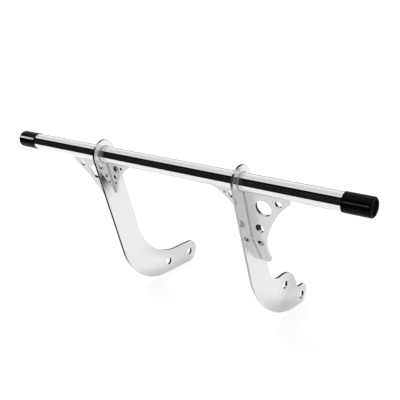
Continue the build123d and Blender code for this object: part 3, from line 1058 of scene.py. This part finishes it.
def tent():
    """A strip of a cylinder about the bar's axis. Its tone follows the angle above the front horizon, and at
    places along the bar it is lifted to at least a given tone."""
    stops, tones = np.array(TENT_TONES).T
    angle = np.radians(np.linspace(stops[0], stops[-1], TENT_STEPS))
    ring = np.stack([0 * angle, -TENT_R * np.cos(angle), TENT_R * np.sin(angle)], axis=1)
    points = np.vstack([ring + (x, 0, 0) for x, _ in TENT_LIFTS])
    tone = np.interp(np.degrees(angle), stops, tones)
    tone = np.concatenate([np.maximum(tone, lifted) for _, lifted in TENT_LIFTS])
    return hanging("light_tent", points, woven(len(TENT_LIFTS), TENT_STEPS).tolist(), tone)


tent()

# %% [markdown]
# ## Shades on the plates
# The camera looks down on the plates, so they mirror the floor beside them, and their soft shades are cloth on
# the floor with edges that fade out. One draws the dark streak beside the left gusset, one shades the left tab
# and a pale one lights the toe of the right gusset. The right tab is shaded by a thin veil close beside it.

# %% Lay sheets on the floor
SHEET_STEPS = 61
SHEET_LIFT = 1 * MM
BOW_START, BOW_SLOPE, BOW_BEND = (0.402, 0.459), 0.677, 0.3


def smooth(share):
    """Eases from 0 to 1: s s (3 - 2 s), with s held between 0 and 1."""
    share = np.clip(share, 0, 1)
    return share**2 * (3 - 2 * share)


def floor_sheet(name, low, high, middle, reach, fade, most=1.0, tone=BLACK):
    """A sheet on the floor between two corners. It covers most about a line, x = middle(y), and fades out
    over a width on both sides, to nothing at its reach, and at its near and far ends."""
    x, y = np.meshgrid(np.linspace(low[0], high[0], SHEET_STEPS), np.linspace(low[1], high[1], SHEET_STEPS))
    x, y = x.ravel(), y.ravel()
    ends = smooth((y - low[1]) / fade) * smooth((high[1] - y) / fade)
    sides = smooth((reach - np.abs(x - middle(y))) / fade)
    points = np.stack([x, y, np.full(len(x), FLOOR_Z + SHEET_LIFT)], axis=1)
    sheet = hanging(name, points, woven(SHEET_STEPS, SHEET_STEPS).tolist(), tone, most * ends * sides)
    sheet.visible_diffuse = False
    return sheet


def bowed(y):
    """A gentle bow from the near left to the far right: start + slope d - bend d d, at a depth d past its start."""
    depth = y - BOW_START[1]
    return BOW_START[0] + BOW_SLOPE * depth - BOW_BEND * depth**2


def straight_at(x):
    """A line straight back at one place along the bar."""
    return lambda y: 0 * y + x


floor_sheet("back_corner_sheet", (0.2, 0.36), (0.75, 0.9), bowed, reach=0.085, fade=0.08)
floor_sheet("left_tab_shade", (-0.2, 0.21), (0.02, 0.46), straight_at(-0.09), reach=0.1, fade=0.08, most=0.22)
floor_sheet("toe_glow", (0.163, 0.0), (0.29, 0.16), straight_at(0.22), reach=0.07, fade=0.04, most=0.5, tone=1.4)

# %% Hang the veil
VEIL_PLACES = (0.135, 0.19, 0.31)
VEIL_HEIGHTS = (FLOOR_Z, -0.262, -0.18)
VEIL_COVER = 0.27


def veil(name, x):
    """A thin veil beside a tab. It is clear along the first of three places and three heights, and even beyond."""
    points = [(x, y, z) for z in VEIL_HEIGHTS for y in VEIL_PLACES]
    cover = VEIL_COVER * np.outer((0, 1, 1), (0, 1, 1)).ravel()
    return hanging(name, points, woven(len(VEIL_HEIGHTS), len(VEIL_PLACES)).tolist(), BLACK, cover)


veil("right_tab_veil", PLATE_X + PLATE_T)

# %% [markdown]
# ## Flags and glints
# A flag is a card on a stand. A black one keeps the right cap's end and the top of the right eye dark, and one
# far behind draws the thin grey line along the tube's upper edge. A small grey one shows in the right arm,
# through the mirrored image of a gusset's hole. A glint card is small and very bright, for the one mark on each
# black cap. It is linked to its cap, because in chrome it would be a white dash.

# %% Stand the flags
def upright_card(name, start, end, low, high, tone):
    """A flat card standing over a line on the floor, between two heights."""
    points = [(*start, low), (*end, low), (*end, high), (*start, high)]
    return hanging(name, points, SQUARE, tone)


upright_card("cap_flag", (0.60, 0.40), (0.60, 0.65), low=FLOOR_Z, high=0.15, tone=BLACK)
upright_card("hole_flag", (0.45, 0.4), (0.45, 0.48), low=FLOOR_Z, high=-0.2, tone=0.4)
upright_card("back_band", (-3.0, 2.0), (0.4, 2.0), low=0.5, high=1.05, tone=BLACK)

# %% Light the caps
GLINT_R = 0.45


def glint_card(cap, start, end, middle, half_height, tone):
    """A small bright card inside the tent, part of a cylinder about the bar between two places along it.
    It shines on one cap alone."""
    low, high = radians(middle - half_height), radians(middle + half_height)
    corners = ((start, low), (end, low), (end, high), (start, high))
    points = [(x, -GLINT_R * cos(angle), GLINT_R * sin(angle)) for x, angle in corners]
    card = hanging(f"{cap}_glint", points, SQUARE, tone)
    card.visible_diffuse = False
    lit = bpy.data.collections.new(f"{cap}_lit")
    lit.objects.link(next(made for made in pieces if made.name.startswith(cap)))
    card.light_linking.receiver_collection = lit
    return card


glint_card("left_end_cap", -1.0, -0.851, middle=33, half_height=12, tone=70)
glint_card("right_end_cap", 0.162, 0.26, middle=14.5, half_height=4, tone=14)

# %% [markdown]
# ## Air and lamp
# The air is plain white, which is both the picture's background and the soft light on everything. One large
# lamp, high on the left, gives the faint shadow on the paper. Mirrors don't show it.

# %% The air and the lamp
AIR = 1.0


def white_air():
    """A white world at one plain level."""
    world = bpy.data.worlds.new("white_air")
    world.use_nodes = True
    background = world.node_tree.nodes["Background"]
    background.inputs["Color"].default_value = (1, 1, 1, 1)
    background.inputs["Strength"].default_value = AIR
    bpy.context.scene.world = world


def soft_lamp(name, place, aim, size, power):
    """A square area lamp that looks from its place towards a point, and that mirrors don't show."""
    lamp = bpy.data.lights.new(name, "AREA")
    lamp.size = size
    lamp.energy = power
    made = bpy.data.objects.new(name, lamp)
    made.location = place
    made.rotation_euler = (Vector(aim) - Vector(place)).to_track_quat("-Z", "Y").to_euler()
    made.visible_glossy = False
    bpy.context.scene.collection.objects.link(made)
    print(f"{name}: {power} W from {size} m across")
    return made


white_air()
soft_lamp("key_lamp", place=(-2.6, -0.7, 4.2), aim=(0, 0.1, -0.2), size=2.4, power=160)

# %% [markdown]
# ## The camera
# The view was worked out from the bar itself: the two outlines of the tube, the cap rims and the two eyes fix
# a camera to the right and a little above, about 1.2 m from the middle of the bar.

# %% Set the camera
CAMERA_PLACE = (747.2 * MM, -894.3 * MM, 305.9 * MM)
CAMERA_TURN = (radians(72.423), 0, radians(37.006))
SENSOR = 36
LENS = 60.34
camera = bpy.data.objects.new("camera", bpy.data.cameras.new("camera"))
camera.location = CAMERA_PLACE
camera.rotation_euler = CAMERA_TURN
camera.data.sensor_width = SENSOR
camera.data.lens = LENS
bpy.context.scene.collection.objects.link(camera)
bpy.context.scene.camera = camera
bpy.context.scene.view_settings.view_transform = "Standard"
print(f"camera {np.linalg.norm(CAMERA_PLACE):.2f} m from the middle of the bar")
